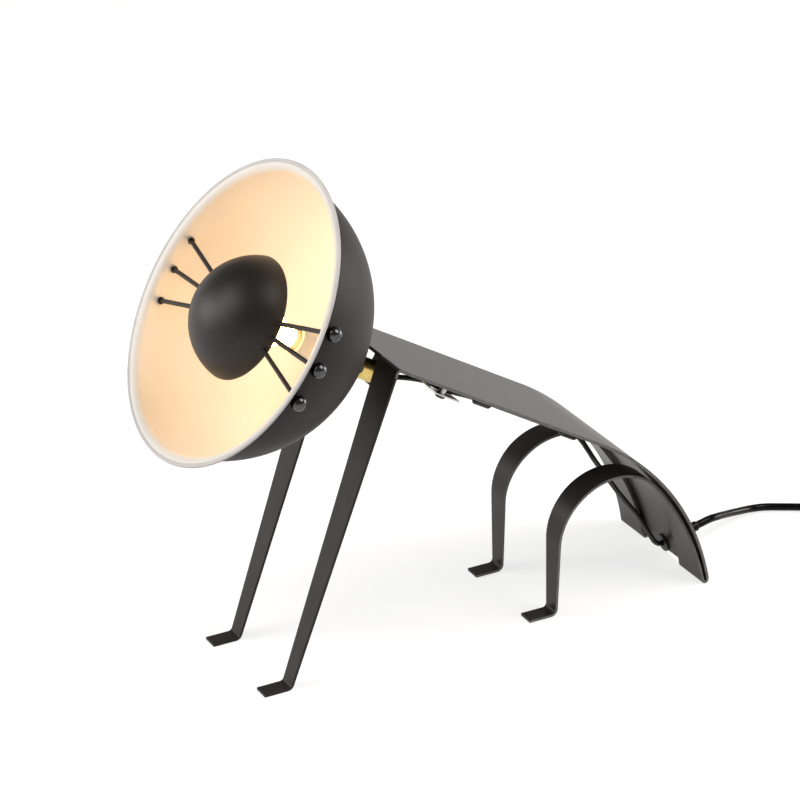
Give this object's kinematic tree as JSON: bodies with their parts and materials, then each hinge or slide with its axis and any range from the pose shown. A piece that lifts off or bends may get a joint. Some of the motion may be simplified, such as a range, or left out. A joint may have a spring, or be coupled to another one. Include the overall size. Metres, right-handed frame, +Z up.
{
  "type": "table lamp",
  "caption": "Cat-shaped table lamp of bent sheet steel: sloping back, tapered legs, tilting bowl shade with a nose cap on whisker rods, and a mains cord with a rocker switch.",
  "frame": {"origin": "on the table under the middle of the lamp without its cord", "axes": "+Z up, -Y the way the cat looks, +X the cat's left side"},
  "size_m": [0.3038, 0.5462, 0.3422],
  "materials": {
    "body_black": "satin",
    "shade_paint": "satin outside, white inside",
    "brass": "satin",
    "bright_steel": "bright",
    "black_nickel": "gloss",
    "black_plastic": "satin",
    "black_pvc": "gloss",
    "holder": "matte",
    "frosted_glass": "frosted"
  },
  "bodies": {
    "body": {"back_plate": "body_black", "front_leg_left": "body_black", "front_leg_right": "body_black", "rear_leg_left": "body_black", "rear_leg_right": "body_black", "neck_bracket": "body_black", "lead": "black_plastic", "cord_clamp": "bright_steel", "clamp_screw": "black_nickel", "lead_clip_mid": "black_plastic", "lead_clip_rear": "black_plastic", "tail_grommet": "black_plastic", "strain_relief": "black_pvc", "cord_run": "black_pvc", "switch_base": "black_plastic", "switch_cover": "black_plastic", "switch_contacts": "brass", "switch_screws": "bright_steel", "cord_link": "black_pvc", "cord_coil": "black_pvc", "coil_tie": "black_plastic", "plug_body": "black_pvc", "plug_relief": "black_pvc", "plug_pins": "bright_steel"},
    "neck": {"neck_fork": "brass", "neck_washer": "bright_steel", "neck_nut": "brass", "pivot_screw": "black_nickel", "pivot_nut": "black_nickel"},
    "head": {"neck_tongue": "brass", "shade": "shade_paint", "shade_nut": "bright_steel", "holder_body": "holder", "holder_shell": "brass", "holder_contact": "brass", "bulb_glass": "frosted_glass", "bulb_cap": "bright_steel", "bulb_contact": "brass", "nose_cap": "body_black", "wall_nuts": "black_nickel", "nose_nuts": "bright_steel", "whisker_rod_1": "body_black", "whisker_rod_2": "body_black", "whisker_rod_3": "body_black", "whisker_rod_4": "body_black", "whisker_rod_5": "body_black", "whisker_rod_6": "body_black", "ball_knob_1": "black_nickel", "ball_knob_2": "black_nickel", "ball_knob_3": "black_nickel", "ball_knob_4": "black_nickel", "ball_knob_5": "black_nickel", "ball_knob_6": "black_nickel"},
    "rocker": {"switch_rocker": "black_plastic"}
  },
  "joints": [
    {"name": "neck_swivel", "type": "hinge", "parent": "body", "child": "neck", "pos_m": [0, -0.05373, 0.20044], "axis": [0, -0.8625, 0.506], "range_deg": [-60, 60]},
    {"name": "head_tilt", "type": "hinge", "parent": "neck", "child": "head", "pos_m": [0, -0.05373, 0.20044], "axis": [-1, 0, 0], "range_deg": [-30, 15]},
    {"name": "switch_rock", "type": "hinge", "parent": "body", "child": "rocker", "pos_m": [0.063, 0.337, 0.013], "axis": [0, -1, 0], "range_deg": [0, 16]}
  ]
}
